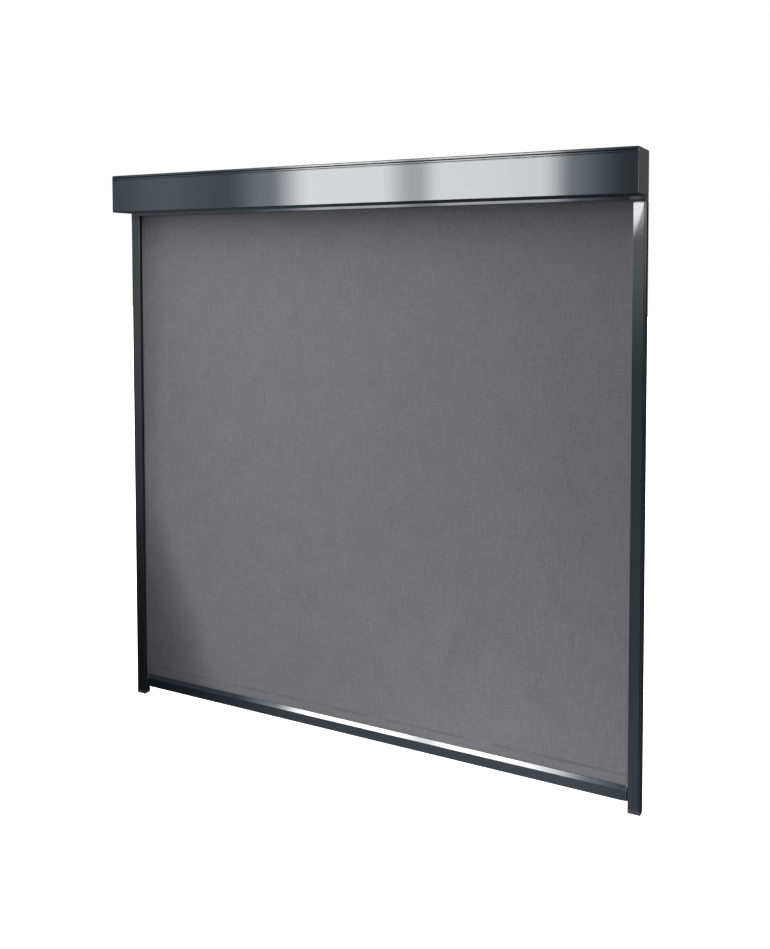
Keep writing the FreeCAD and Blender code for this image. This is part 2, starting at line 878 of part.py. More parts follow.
def guide_plug():
    """Plug at the foot of the right guide, with the stop that the bar's tongue comes down on."""
    outline = [
        (guide_inner_x, 0),
        (half_width, 0),
        (half_width, guide_front_y, guide_corner_round),
        (guide_inner_x, guide_front_y, guide_edge_round),
    ]
    cap_top = guide_bottom + plug_height - seam_gap
    cap = along_z(outline, guide_bottom, cap_top)
    spigot = block(rib_x + rib_wall + plug_fit, half_width - guide_wall - plug_fit,
                   guide_front_y + guide_wall + leg_length + plug_fit, -guide_wall - plug_fit,
                   cap_top, cap_top + plug_spigot_height)
    stop_half = channel_cavity_depth / 2 - stop_fit
    stop = block(cavity_start + stop_fit, cavity_end - stop_fit, fabric_y - stop_half, fabric_y + stop_half,
                 cap_top, bar_bottom)
    return joined(cap, spigot, stop)


def inlet_funnel():
    """Funnel above the right guide that leads the zip from the roller into its channel."""
    start = guide_inner_x + channel_inset
    end = plate_x - seam_gap
    floor = guide_top + seam_gap
    top = box_bottom
    body = block(start, end, guide_front_y + tab_wall + seam_gap, -cap_rim_wall - seam_gap, floor, top)
    mouth_half = funnel_mouth / 2
    low = outline_face([(cavity_start, fabric_y - channel_cavity_depth / 2),
                        (cavity_end, fabric_y - channel_cavity_depth / 2),
                        (cavity_end, fabric_y + channel_cavity_depth / 2),
                        (cavity_start, fabric_y + channel_cavity_depth / 2)],
                       lambda point: Vector(point.x, point.y, floor)).OuterWire
    high = outline_face([(cavity_start - funnel_inset, fabric_y - mouth_half),
                         (cavity_end + funnel_inset, fabric_y - mouth_half),
                         (cavity_end + funnel_inset, fabric_y + mouth_half),
                         (cavity_start - funnel_inset, fabric_y + mouth_half)],
                        lambda point: Vector(point.x, point.y, top)).OuterWire
    well = Part.makeLoft([low, high], True, True)
    slot = along_x([(fabric_y - channel_slot / 2, floor), (fabric_y + channel_slot / 2, floor),
                    (fabric_y + mouth_half, top), (fabric_y - mouth_half, top)],
                   start, cavity_start + funnel_inset)
    return body.cut([well, slot])


# Bottom bar

def bar_outline():
    """(y, z) outline of the bar: upright faces, sloped shoulders and a narrow top."""
    shoulder = bar_metal_bottom + bar_face_height
    top_half = bar_top_width / 2
    return [
        (bar_front, bar_metal_bottom, bar_round),
        (bar_back, bar_metal_bottom, bar_round),
        (bar_back, shoulder, bar_round),
        (fabric_y + top_half, bar_top),
        (fabric_y - top_half, bar_top),
        (bar_front, shoulder, bar_round),
    ]


def bar_chamber(fit):
    """(y, z) outline of the lower chamber, drawn in by a fit."""
    return [
        (bar_front + bar_wall + fit, bar_metal_bottom + bar_wall + fit),
        (bar_back - bar_wall - fit, bar_metal_bottom + bar_wall + fit),
        (bar_back - bar_wall - fit, bar_metal_bottom + bar_face_height - 2 * bar_wall - fit),
        (bar_front + bar_wall + fit, bar_metal_bottom + bar_face_height - 2 * bar_wall - fit),
    ]


def bottom_bar():
    """Hollow aluminium bar with its keder groove, ballast chamber and seal groove."""
    bar = along_x(bar_outline(), -bar_metal_end, bar_metal_end)
    bore = rod_x(keder_bore, -bar_metal_end, bar_metal_end, fabric_y, keder_z)
    slot_half = fabric_thickness / 2 + soft_gap
    slot = block(-bar_metal_end, bar_metal_end, fabric_y - slot_half, fabric_y + slot_half,
                 keder_z, bar_top)
    chamber = along_x(bar_chamber(0), -bar_metal_end, bar_metal_end)
    stem_half = seal_stem_width / 2
    groove = block(-bar_metal_end, bar_metal_end, fabric_y - stem_half, fabric_y + stem_half,
                   bar_metal_bottom, bar_metal_bottom + bar_wall)
    return bar.cut([bore, slot, chamber, groove])


def hem_keder():
    """Rod in the fabric's hem, held in the bar's upper groove."""
    return rod_x(keder_radius, -bar_metal_end, bar_metal_end, fabric_y, keder_z)


def bar_weight():
    """Steel flat that weighs the bar down."""
    half = weight_depth / 2
    floor = bar_metal_bottom + bar_wall + seal_head_height + 2 * seam_gap
    length = bar_metal_end - weight_end_gap
    return block(-length, length, fabric_y - half, fabric_y + half, floor, floor + weight_height)


def bar_seal():
    """Rubber strip under the bar, with a stem and a head inside its groove."""
    half = seal_width / 2
    stem_half = seal_stem_width / 2 - turning_gap
    head_half = seal_head_width / 2
    wall_top = bar_metal_bottom + bar_wall + turning_gap
    outline = [
        (fabric_y - half, bar_bottom, seal_height / 3),
        (fabric_y + half, bar_bottom, seal_height / 3),
        (fabric_y + half, bar_metal_bottom - turning_gap),
        (fabric_y + stem_half, bar_metal_bottom - turning_gap),
        (fabric_y + stem_half, wall_top),
        (fabric_y + head_half, wall_top),
        (fabric_y + head_half, wall_top + seal_head_height),
        (fabric_y - head_half, wall_top + seal_head_height),
        (fabric_y - head_half, wall_top),
        (fabric_y - stem_half, wall_top),
        (fabric_y - stem_half, bar_metal_bottom - turning_gap),
        (fabric_y - half, bar_metal_bottom - turning_gap),
    ]
    length = bar_metal_end - bar_cap_spigot - seam_gap
    return along_x(outline, -length, length)


def bar_end_cap():
    """Plastic cap on the bar's right end, with the tongue that runs in the zip channel."""
    cap = along_x(bar_outline(), bar_metal_end + seam_gap, bar_end)
    spigot = along_x(bar_chamber(bar_cap_fit), bar_metal_end - bar_cap_spigot, bar_metal_end + seam_gap)
    half = tongue_thickness / 2
    floor = bar_bottom + seam_gap
    tongue = block(bar_end, guide_inner_x + tongue_reach, fabric_y - half, fabric_y + half,
                   floor, floor + tongue_height)
    root = block(bar_metal_end + seam_gap, bar_end, fabric_y - half, fabric_y + half,
                 floor, bar_metal_bottom)
    return joined(cap, spigot, tongue, root)


def build():
    """Make every piece and write it to its own file."""
    os.makedirs("parts", exist_ok=True)
    save("casing_back_profile", casing_back_profile())
    save("front_cover", front_cover())
    save("cable_grommet", cable_grommet())
    save_pair("front_cover_screws", *front_cover_screws())
    save_pair("end_cap", end_cap())
    save_pair("end_cap_screws", *end_cap_screws())
    save_pair("bracket_screws", *bracket_screws())
    save("motor_bracket", motor_bracket())
    save("idler_bracket", idler_bracket())
    save("idler_bearing", idler_bearing())
    save("motor_head", motor_head())
    save("motor_housing", motor_housing())
    save("motor_gearbox", motor_gearbox())
    save("motor_brake", motor_brake())
    save("motor_rotor_can", motor_rotor_can())
    save("motor_output_shaft", motor_output_shaft())
    save("motor_crown", motor_crown())
    save("motor_drive_wheel", motor_drive_wheel())
    save("drive_wheel_rivets", *[drive_rivet(rivet_radius, angle, 0.0) for angle in rivet_angles()])
    save("roller_tube", roller_tube())
    save("roller_keder", roller_keder())
    save("fabric_roll", fabric_roll())
    save_pair("zip_roll", zip_roll())
    save("idler_plug", idler_plug())
    save("idler_pin", idler_pin())
    save("fabric_screen", fabric_screen())
    save_pair("zip_tape", zip_tape())
    save_pair("guide_base", guide_base())
    save_pair("guide_cover", guide_cover())
    save_pair("zip_channel", zip_channel())
    save_pair("channel_cushion", channel_cushion())
    save_pair("guide_plug", guide_plug())
    save_pair("inlet_funnel", inlet_funnel())
    save("bottom_bar", bottom_bar())
    save("hem_keder", hem_keder())
    save("bar_weight", bar_weight())
    save("bar_seal", bar_seal())
    save_pair("bar_end_cap", bar_end_cap())


build()
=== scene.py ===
import json
import logging
import math
from dataclasses import dataclass, field
from enum import Enum
from typing import Callable, Dict, List, Sequence, Tuple, Union

import bmesh
import bpy
from mathutils import Euler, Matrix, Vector


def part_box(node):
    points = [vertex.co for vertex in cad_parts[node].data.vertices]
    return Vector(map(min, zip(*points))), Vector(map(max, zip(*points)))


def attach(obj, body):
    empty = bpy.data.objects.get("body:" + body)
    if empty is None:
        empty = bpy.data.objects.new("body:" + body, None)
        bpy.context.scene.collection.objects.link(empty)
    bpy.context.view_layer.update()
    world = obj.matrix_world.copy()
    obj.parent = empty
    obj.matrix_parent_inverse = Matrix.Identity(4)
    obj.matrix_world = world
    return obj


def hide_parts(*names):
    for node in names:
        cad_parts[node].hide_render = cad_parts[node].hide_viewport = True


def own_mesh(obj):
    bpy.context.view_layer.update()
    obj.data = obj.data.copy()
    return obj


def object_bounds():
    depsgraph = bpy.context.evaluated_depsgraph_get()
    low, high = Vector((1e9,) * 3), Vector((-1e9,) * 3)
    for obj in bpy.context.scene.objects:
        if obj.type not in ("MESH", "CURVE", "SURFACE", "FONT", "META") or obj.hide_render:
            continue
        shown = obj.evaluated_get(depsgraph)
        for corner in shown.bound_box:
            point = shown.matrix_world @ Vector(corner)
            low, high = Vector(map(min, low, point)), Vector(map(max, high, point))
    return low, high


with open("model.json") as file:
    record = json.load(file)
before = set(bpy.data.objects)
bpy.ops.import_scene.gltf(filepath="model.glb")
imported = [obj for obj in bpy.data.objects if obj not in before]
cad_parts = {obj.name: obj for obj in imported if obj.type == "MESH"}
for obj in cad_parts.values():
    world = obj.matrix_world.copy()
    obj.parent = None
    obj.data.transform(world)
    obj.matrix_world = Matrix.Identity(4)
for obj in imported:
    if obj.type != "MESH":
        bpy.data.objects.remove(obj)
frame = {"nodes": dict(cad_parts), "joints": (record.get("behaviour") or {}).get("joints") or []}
CAD_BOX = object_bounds()
LOG = logging.getLogger("zip_screen_blind")

Number = Union["Signal", float]
Colour = Tuple[float, float, float, float]
Sockets = Dict[Union[str, int], object]


def tone(red: int, green: int, blue: int) -> Colour:
    """Turn a screen colour into the linear colour that shaders work with.

    Args:
        red: red from 0 to 255.
        green: green from 0 to 255.
        blue: blue from 0 to 255.

    Returns:
        The linear colour with full alpha.
    """
    def linear(level: int) -> float:
        """Undo the screen's transfer curve for one channel."""
        share = level / 255
        return share / 12.92 if share <= 0.04045 else ((share + 0.055) / 1.055) ** 2.4

    return (linear(red), linear(green), linear(blue), 1.0)


class Signal:
    """A number that varies over a surface; Python's operators add its Math nodes."""

    def __init__(self, shader: "Shader", socket: bpy.types.NodeSocket) -> None:
        """Keep the shader and the socket that gives the number."""
        self.shader = shader
        self.socket = socket

    def combine(self, operation: str, *values: Number) -> "Signal":
        """Add one Math node.

        Args:
            operation: the Math node's operation.
            values: its inputs in order.

        Returns:
            The result of the node.
        """
        return self.shader.number("ShaderNodeMath", {"operation": operation}, dict(enumerate(values)))

    def __add__(self, other: Number) -> "Signal":
        """Add a number."""
        return self.combine("ADD", self, other)

    __radd__ = __add__

    def __sub__(self, other: Number) -> "Signal":
        """Take a number away."""
        return self.combine("SUBTRACT", self, other)

    def __rsub__(self, other: Number) -> "Signal":
        """Take this signal away from a number."""
        return self.combine("SUBTRACT", other, self)

    def __mul__(self, other: Number) -> "Signal":
        """Multiply by a number."""
        return self.combine("MULTIPLY", self, other)

    __rmul__ = __mul__

    def __truediv__(self, other: Number) -> "Signal":
        """Divide by a number."""
        return self.combine("DIVIDE", self, other)

    def __abs__(self) -> "Signal":
        """Drop the sign."""
        return self.combine("ABSOLUTE", self)

    def wave(self) -> "Signal":
        """Sine of the signal."""
        return self.combine("SINE", self)

    def higher(self, other: Number) -> "Signal":
        """Larger of two numbers."""
        return self.combine("MAXIMUM", self, other)

    def fade(self, start: float, end: float) -> "Signal":
        """Rise smoothly from 0 to 1 between two values.

        Args:
            start: the value where the result is 0.
            end: the value where the result is 1.

        Returns:
            The smooth step.
        """
        return self.shader.number("ShaderNodeMapRange", {"interpolation_type": "SMOOTHSTEP"},
                                  {"Value": self, "From Min": start, "From Max": end})


class Place:
    """A position on the surface in metres; its operators add Vector Math nodes."""

    def __init__(self, shader: "Shader", socket: bpy.types.NodeSocket) -> None:
        """Keep the shader and the socket that gives the position."""
        self.shader = shader
        self.socket = socket

    def __mul__(self, factors: Sequence[float]) -> "Place":
        """Scale each axis by its own factor.

        Args:
            factors: the three factors.

        Returns:
            The scaled position.
        """
        node = self.shader.node("ShaderNodeVectorMath", {"operation": "MULTIPLY"},
                                {0: self, 1: tuple(factors)})
        return Place(self.shader, node.outputs["Vector"])

    def axis(self, name: str) -> Signal:
        """One coordinate, named X, Y or Z."""
        return self.shader.number("ShaderNodeSeparateXYZ", {}, {"Vector": self}, name)


class Shader:
    """The node tree of a material or the world, filled from Python expressions."""

    def __init__(self, tree: bpy.types.NodeTree) -> None:
        """Start from an empty tree."""
        tree.nodes.clear()
        self.tree = tree

    def node(self, kind: str, settings: Dict[str, object], sockets: Sockets) -> bpy.types.Node:
        """Add one node.

        Args:
            kind: the node's type.
            settings: its own properties, which are set first.
            sockets: the value or link of each input, by name or place.

        Returns:
            The new node.
        """
        node = self.tree.nodes.new(kind)
        for name, value in settings.items():
            setattr(node, name, value)
        for name, value in sockets.items():
            source = getattr(value, "socket", value)
            if isinstance(source, bpy.types.NodeSocket):
                self.tree.links.new(source, node.inputs[name])
            else:
                node.inputs[name].default_value = source
        return node

    def number(self, kind: str, settings: Dict[str, object], sockets: Sockets,
               output: Union[str, int] = 0) -> Signal:
        """Add one node and take a number from it.

        Args:
            kind: the node's type.
            settings: its own properties.
            sockets: the value or link of each input.
            output: the output that gives the number.

        Returns:
            The number as a signal.
        """
        return Signal(self, self.node(kind, settings, sockets).outputs[output])

    def place(self, source: str = "Object") -> Place:
        """Position on the piece in its own frame, in metres, or a world direction."""
        return Place(self, self.node("ShaderNodeTexCoord", {}, {}).outputs[source])

    def noise(self, place: Place, grain: float, detail: float = 2.0) -> Signal:
        """Soft random pattern.

        Args:
            place: where it is looked up.
            grain: the size of its patches in metres.
            detail: how many finer layers it has.

        Returns:
            The pattern, about 0.5 on average.
        """
        return self.number("ShaderNodeTexNoise", {"noise_dimensions": "3D"},
                           {"Vector": place, "Scale": 1 / grain, "Detail": detail})

    def mixed(self, share: Number, first: object, second: object) -> bpy.types.NodeSocket:
        """Mix two colours.

        Args:
            share: the share of the second colour, from 0 to 1.
            first: the colour at share 0.
            second: the colour at share 1.

        Returns:
            The socket of the mixed colour.
        """
        node = self.node("ShaderNodeMix", {"data_type": "RGBA"}, {"Factor": share, 6: first, 7: second})
        return node.outputs[2]

    def bump(self, height: Signal, depth: float, strength: float) -> bpy.types.NodeSocket:
        """Small relief of the surface.

        Args:
            height: the relief from 0 to 1.
            depth: its full height in metres.
            strength: its share that shows.

        Returns:
            The socket of the bumped normal.
        """
        node = self.node("ShaderNodeBump", {}, {"Strength": strength, "Distance": depth, "Height": height})
        return node.outputs["Normal"]

    def surface(self, kind: str, sockets: Sockets) -> None:
        """Add the surface shader and the output.

        Args:
            kind: the shader node's type.
            sockets: the value or link of each input.
        """
        shader = self.node(kind, {}, sockets)
        self.node("ShaderNodeOutputMaterial", {"is_active_output": True}, {"Surface": shader.outputs[0]})


@dataclass(frozen=True)
class Edge:
    """A soft edge, from where it starts to where it has risen to 1."""

    start: float
    end: float

    def of(self, signal: Signal) -> Signal:
        """The edge's smooth step along a signal."""
        return signal.fade(self.start, self.end)

    def after(self, signal: Signal) -> Signal:
        """The opposite step, which falls from 1 to 0."""
        return 1 - signal.fade(self.start, self.end)


class Grain(Enum):
    """Direction in which a profile was drawn, as the stretch of its marks along X, Y and Z."""

    ALONG_BOX = (0.02, 1.0, 1.0)
    ALONG_GUIDE = (1.0, 1.0, 0.02)
    EVEN = (1.0, 1.0, 1.0)


@dataclass(frozen=True)
class Finish:
    """One finish of the blind, made into a material when it is first used."""

    name: str
    slot: str
    dark: Colour
    light: Colour

    def material(self) -> bpy.types.Material:
        """The finish as a material.

        Returns:
            The material, made once and then shared.
        """
        made = bpy.data.materials.get(self.name)
        if made is None:
            made = bpy.data.materials.new(self.name)
            made.use_nodes = True
            self.paint(Shader(made.node_tree))
        return made

    def paint(self, shader: Shader) -> None:
        """Fill the material's nodes; each kind of finish has its own way."""
        raise NotImplementedError


@dataclass(frozen=True)
class PowderCoat(Finish):
    """Smooth powder coat on an extruded profile."""

    grain: Grain = Grain.EVEN
    roughness: float = 0.02
    peel_size: float = 0.0024
    peel_depth: float = 0.000002
    speck_size: float = 0.0004

    def paint(self, shader: Shader) -> None:
        """Coat with faint orange peel, fine specks and die lines along the profile.

        Args:
            shader: the material's tree.
        """
        place = shader.place()
        clouds = shader.noise(place, 0.16, 3)
        lines = shader.noise(place * self.grain.value, 0.0022, 3)
        specks = shader.noise(place, self.speck_size, 1)
        peel = shader.noise(place, self.peel_size, 2)
        smudges = shader.noise(place, 0.045, 4)
        share = 0.5 * clouds + 0.2 * lines + 0.3 * specks
        roughness = self.roughness * (1 + 0.5 * (lines - 0.5) + 0.5 * (smudges - 0.5))
        shader.surface("ShaderNodeBsdfPrincipled", {
            "Base Color": shader.mixed(share, self.dark, self.light),
            "Roughness": roughness,
            "Specular IOR Level": 0.5,
            "Normal": shader.bump(peel + 0.25 * lines, self.peel_depth, 0.5),
        })


@dataclass(frozen=True)
class Moulded(Finish):
    """Moulded or extruded plastic with a fine spark-eroded texture."""

    roughness: float = 0.48
    texture_size: float = 0.0007
    texture_depth: float = 0.00005

    def paint(self, shader: Shader) -> None:
        """Fine texture with slightly shinier rubbed patches.

        Args:
            shader: the material's tree.
        """
        place = shader.place()
        texture = shader.noise(place, self.texture_size, 3)
        rubbed = shader.noise(place, 0.03, 4).fade(0.45, 0.75)
        shader.surface("ShaderNodeBsdfPrincipled", {
            "Base Color": shader.mixed(texture, self.dark, self.light),
            "Roughness": self.roughness - 0.12 * rubbed + 0.08 * (texture - 0.5),
            "Normal": shader.bump(texture, self.texture_depth, 0.6),
        })


@dataclass(frozen=True)
class Rubber(Finish):
    """Matt rubber or closed-cell foam with a grainy skin."""

    cell_size: float = 0.0009
    cell_depth: float = 0.0001

    def paint(self, shader: Shader) -> None:
        """Grainy skin with a grey bloom.

        Args:
            shader: the material's tree.
        """
        place = shader.place()
        cells = shader.number("ShaderNodeTexVoronoi", {"feature": "F1"},
                              {"Vector": place, "Scale": 1 / self.cell_size}, "Distance")
        bloom = shader.noise(place, 0.02, 4).fade(0.4, 0.8)
        shader.surface("ShaderNodeBsdfPrincipled", {
            "Base Color": shader.mixed(bloom, self.dark, self.light),
            "Roughness": 0.78 + 0.12 * (bloom - 0.5),
            "Normal": shader.bump(cells, self.cell_depth, 0.5),
        })


@dataclass(frozen=True)
class Metal(Finish):
    """Bare metal: drawn, turned or galvanised."""

    grain: Grain = Grain.EVEN
    roughness: float = 0.3
    spangle_size: float = 0.0
    line_size: float = 0.0006

    def paint(self, shader: Shader) -> None:
        """Drawing lines, and the crystal spangle of zinc where there is one.

        Args:
            shader: the material's tree.
        """
        place = shader.place()
        lines = shader.noise(place * self.grain.value, self.line_size, 3)
        share = 0.6 * lines + 0.4 * shader.noise(place, 0.03, 3)
        if self.spangle_size:
            crystals = shader.number("ShaderNodeTexVoronoi", {"feature": "F1"},
                                     {"Vector": place, "Scale": 1 / self.spangle_size}, "Color")
            share = 0.45 * share + 0.55 * crystals
        shader.surface("ShaderNodeBsdfPrincipled", {
            "Base Color": shader.mixed(share, self.dark, self.light),
            "Metallic": 1.0,
            "Roughness": self.roughness + 0.14 * (share - 0.5),
            "Normal": shader.bump(lines, 0.00002, 0.5),
        })


@dataclass(frozen=True)
class ScreenCloth(Finish):
    """Coated glass-fibre screen cloth in a fine basket weave."""

    yarn_pitch: float = 0.0011
    slub_width: float = 0.006
    slub_length: float = 0.07
    weld: Edge = Edge(0.002, 0.005)
    weld_patches: Edge = Edge(0.3, 0.55)
    weld_shade: Colour = tone(84, 84, 87)
    weld_share: float = 0.7
    hem_z: float = 0.0
    weld_x: float = 0.0

    def paint(self, shader: Shader) -> None:
        """Weave, slubs along both yarns, soft clouds, and the pressed welds of hem and edges.

        Args:
            shader: the material's tree.
        """
        place = shader.place()
        across = place.axis("X")
        up = place.axis("Z")
        turn = 2 * math.pi / self.yarn_pitch
        warp = (across * turn).wave()
        weft = (up * turn).wave()
        weave = (warp * weft) * 0.5 + 0.5
        ribs = abs(warp).higher(abs(weft))
        along_warp = (1 / self.slub_width, 1.0, 1 / self.slub_length)
        along_weft = (1 / self.slub_length, 1.0, 1 / self.slub_width)
        warp_slubs = shader.noise(place * along_warp, 1.0, 3)
        weft_slubs = shader.noise(place * along_weft, 1.0, 2)
        clouds = shader.noise(place, 0.09, 3)
        mottle = shader.noise(place, 0.009, 2)
        share = 0.34 * warp_slubs + 0.16 * weft_slubs + 0.3 * mottle + 0.14 * clouds + 0.06 * weave
        share = share.fade(0.22, 0.78)
        yarns = shader.mixed(share, self.dark, self.light)
        hem = self.weld.after(abs(up - self.hem_z)) * self.weld_patches.of(clouds)
        edge = (abs(across) - self.weld_x).fade(0.0, 0.0015)
        yarns = shader.mixed(0.5 * edge, yarns, self.light)
        pressed = (0.4 * hem).higher(0.3 * edge)
        shader.surface("ShaderNodeBsdfPrincipled", {
            "Base Color": shader.mixed(self.weld_share * hem, yarns, self.weld_shade),
            "Roughness": 0.8 + 0.1 * (ribs - 0.5) - 0.4 * pressed,
            "Specular IOR Level": 0.35,
            "Sheen Weight": 0.06,
            "Normal": shader.bump(ribs * (1 - pressed), 0.00022, 0.35),
        })


@dataclass(frozen=True)
class ZipTape(Finish):
    """Woven zip tape with a coloured thread pattern."""

    thread_pitch: float = 0.0009

    def paint(self, shader: Shader) -> None:
        """Close herringbone threads.

        Args:
            shader: the material's tree.
        """
        place = shader.place()
        turn = 2 * math.pi / self.thread_pitch
        slanted = (place.axis("Z") + abs(place.axis("X")) * 0.6) * turn
        threads = slanted.wave() * 0.5 + 0.5
        shader.surface("ShaderNodeBsdfPrincipled", {
            "Base Color": shader.mixed(threads, self.dark, self.light),
            "Roughness": 0.62 + 0.1 * (threads - 0.5),
            "Normal": shader.bump(threads, 0.0001, 0.4),
        })


BOX_COAT = PowderCoat("coat_on_box", "coated_profile", tone(35, 44, 50), tone(43, 52, 59), Grain.ALONG_BOX)
GUIDE_COAT = PowderCoat("coat_on_guide", "coated_profile", tone(37, 44, 51), tone(45, 52, 60),
                        Grain.ALONG_GUIDE)
CAP_COAT = PowderCoat("coat_on_cap", "coated_cap", tone(38, 44, 49), tone(46, 52, 57))
BLACK_PLASTIC = Moulded("moulded_black", "black_plastic", tone(22, 22, 24), tone(34, 34, 36))
GREY_PLASTIC = Moulded("moulded_anthracite", "grey_plastic", tone(58, 63, 67), tone(72, 78, 82))
WHITE_PLASTIC = Moulded("extruded_natural", "white_plastic", tone(206, 204, 196), tone(226, 224, 216), 0.36)
BLACK_RUBBER = Rubber("rubber_black", "black_rubber", tone(20, 20, 20), tone(40, 40, 41))
BLACK_FOAM = Rubber("foam_black", "black_foam", tone(28, 28, 28), tone(46, 46, 47), 0.0014, 0.0003)
ZINC = Metal("galvanised_sheet", "zinc_steel", tone(150, 155, 160), tone(205, 208, 210), Grain.EVEN, 0.38,
             0.009)
BLACK_STEEL = PowderCoat("screws_coated_black", "black_steel", tone(34, 36, 38), tone(44, 46, 48),
                         Grain.EVEN, 0.3)
STAINLESS = Metal("stainless_fastener", "stainless_steel", tone(176, 176, 174), tone(206, 206, 203),
                  Grain.EVEN, 0.24)
BRIGHT_STEEL = Metal("drawn_steel", "bright_steel", tone(168, 168, 170), tone(200, 200, 202),
                     Grain.ALONG_BOX, 0.26)
MOTOR_PAINT = PowderCoat("motor_paint", "motor_paint", tone(28, 29, 31), tone(40, 41, 43), Grain.EVEN, 0.3)
MOTOR_METAL = Metal("motor_alloy", "motor_metal", tone(150, 150, 150), tone(186, 186, 186), Grain.EVEN, 0.4)
ZIP_TAPE = ZipTape("zip_tape_threads", "zip_plastic", tone(52, 52, 56), tone(78, 78, 82))
ZIP_TEETH = Moulded("zip_teeth", "zip_plastic", tone(36, 36, 39), tone(50, 50, 53), 0.3)


def both(name: str) -> Tuple[str, str]:
    """Names of the right and the left one of a pair."""
    return (name + "_right", name + "_left")


@dataclass
class SubAssembly:
    """Pieces that are made and finished together."""

    def build(self) -> None:
        """Make and dress the pieces."""
        raise NotImplementedError

    def dress(self, finish: Finish, *nodes: str) -> None:
        """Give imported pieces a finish.

        Args:
            finish: their finish.
            nodes: their names.
        """
        for name in nodes:
            node = frame["nodes"][name]
            if not node.material_slots:
                node.data.materials.append(None)
            for slot in node.material_slots:
                slot.material = finish.material()
            LOG.info("%s: %s", name, finish.name)

    def add(self, name: str, mesh: bmesh.types.BMesh, finish: Finish, body: str,
            stands_for: Sequence[str] = ()) -> bpy.types.Object:
        """Turn a mesh into a piece that rides on a body.

        Args:
            name: the piece's name.
            mesh: its mesh in metres, in the blind's frame.
            finish: its finish.
            body: the body that carries it.
            stands_for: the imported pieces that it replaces.

        Returns:
            The new piece.
        """
        data = bpy.data.meshes.new(name)
        bmesh.ops.recalc_face_normals(mesh, faces=mesh.faces)
        mesh.to_mesh(data)
        mesh.free()
        data.shade_smooth()
        data.set_sharp_from_angle(angle=math.radians(38))
        data.materials.append(finish.material())
        piece = bpy.data.objects.new(name, data)
        bpy.context.scene.collection.objects.link(piece)
        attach(piece, body)
        if stands_for:
            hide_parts(*stands_for)
        LOG.info("%s: new mesh with %d faces, %s", name, len(data.polygons), finish.name)
        return piece


def thick_sheet(stations: Sequence[Sequence[float]], middle: Callable[[float, float], Vector],
                half: Callable[[float, float], Vector]) -> bmesh.types.BMesh:
    """Thin closed sheet about a middle surface.

    Args:
        stations: the values of the two surface coordinates at which points lie.
        middle: gives the point of the middle surface at two coordinates.
        half: gives the step from the middle to the front side there.

    Returns:
        The mesh of front, back and rim.
    """
    mesh = bmesh.new()
    sides: List[List[List[bmesh.types.BMVert]]] = []
    for sign in (1, -1):
        sides.append([[mesh.verts.new(middle(a, b) + sign * half(a, b)) for a in stations[0]]
                      for b in stations[1]])
    front, back = sides
    rows = len(stations[1])
    columns = len(stations[0])
    for row in range(rows - 1):
        for column in range(columns - 1):
            for side in sides:
                mesh.faces.new((side[row][column], side[row][column + 1],
                                side[row + 1][column + 1], side[row + 1][column]))
    for row in range(rows - 1):
        for column in (0, columns - 1):
            mesh.faces.new((front[row][column], front[row + 1][column],
                            back[row + 1][column], back[row][column]))
    for column in range(columns - 1):
        for row in (0, rows - 1):
            mesh.faces.new((front[row][column], front[row][column + 1],
                            back[row][column + 1], back[row][column]))
    return mesh


def evenly(start: float, end: float, count: int) -> List[float]:
    """Evenly spaced values.

    Args:
        start: the first value.
        end: the last value.
        count: how many there are.

    Returns:
        The values in order.
    """
    return [start + (end - start) * index / (count - 1) for index in range(count)]


def smooth(value: float, start: float, end: float) -> float:
    """Rise smoothly from 0 to 1 between two values.

    Args:
        value: where the step is looked up.
        start: where it is 0.
        end: where it is 1.

    Returns:
        The height of the step.
    """
    share = min(1.0, max(0.0, (value - start) / (end - start)))
    return share * share * (3 - 2 * share)


@dataclass
class Cassette(SubAssembly):
    """The box: its back profile, the hung front cover and what is fixed to them."""

    def build(self) -> None:
        """Dress the profiles, the end caps, their screws and the grommet."""
        self.dress(BOX_COAT, "casing_back_profile", "front_cover")
        self.dress(CAP_COAT, *both("end_cap"))
        self.dress(BLACK_STEEL, *both("end_cap_screws"))
        self.dress(STAINLESS, *both("front_cover_screws"))
        self.dress(BLACK_RUBBER, "cable_grommet")


@dataclass
class Drive(SubAssembly):
    """Roller tube, motor, idler and the brackets that carry them."""

    def build(self) -> None:
        """Dress what turns and what carries it."""
        self.dress(ZINC, "roller_tube", "motor_bracket", "idler_bracket")
        self.dress(STAINLESS, *both("bracket_screws"), "drive_wheel_rivets")
        self.dress(BLACK_PLASTIC, "motor_head", "motor_crown", "motor_drive_wheel", "idler_plug")
        self.dress(MOTOR_PAINT, "motor_housing")
        self.dress(MOTOR_METAL, "motor_gearbox", "motor_brake", "motor_rotor_can")
        self.dress(BRIGHT_STEEL, "motor_output_shaft", "idler_pin")
        self.dress(WHITE_PLASTIC, "idler_bearing", "roller_keder")


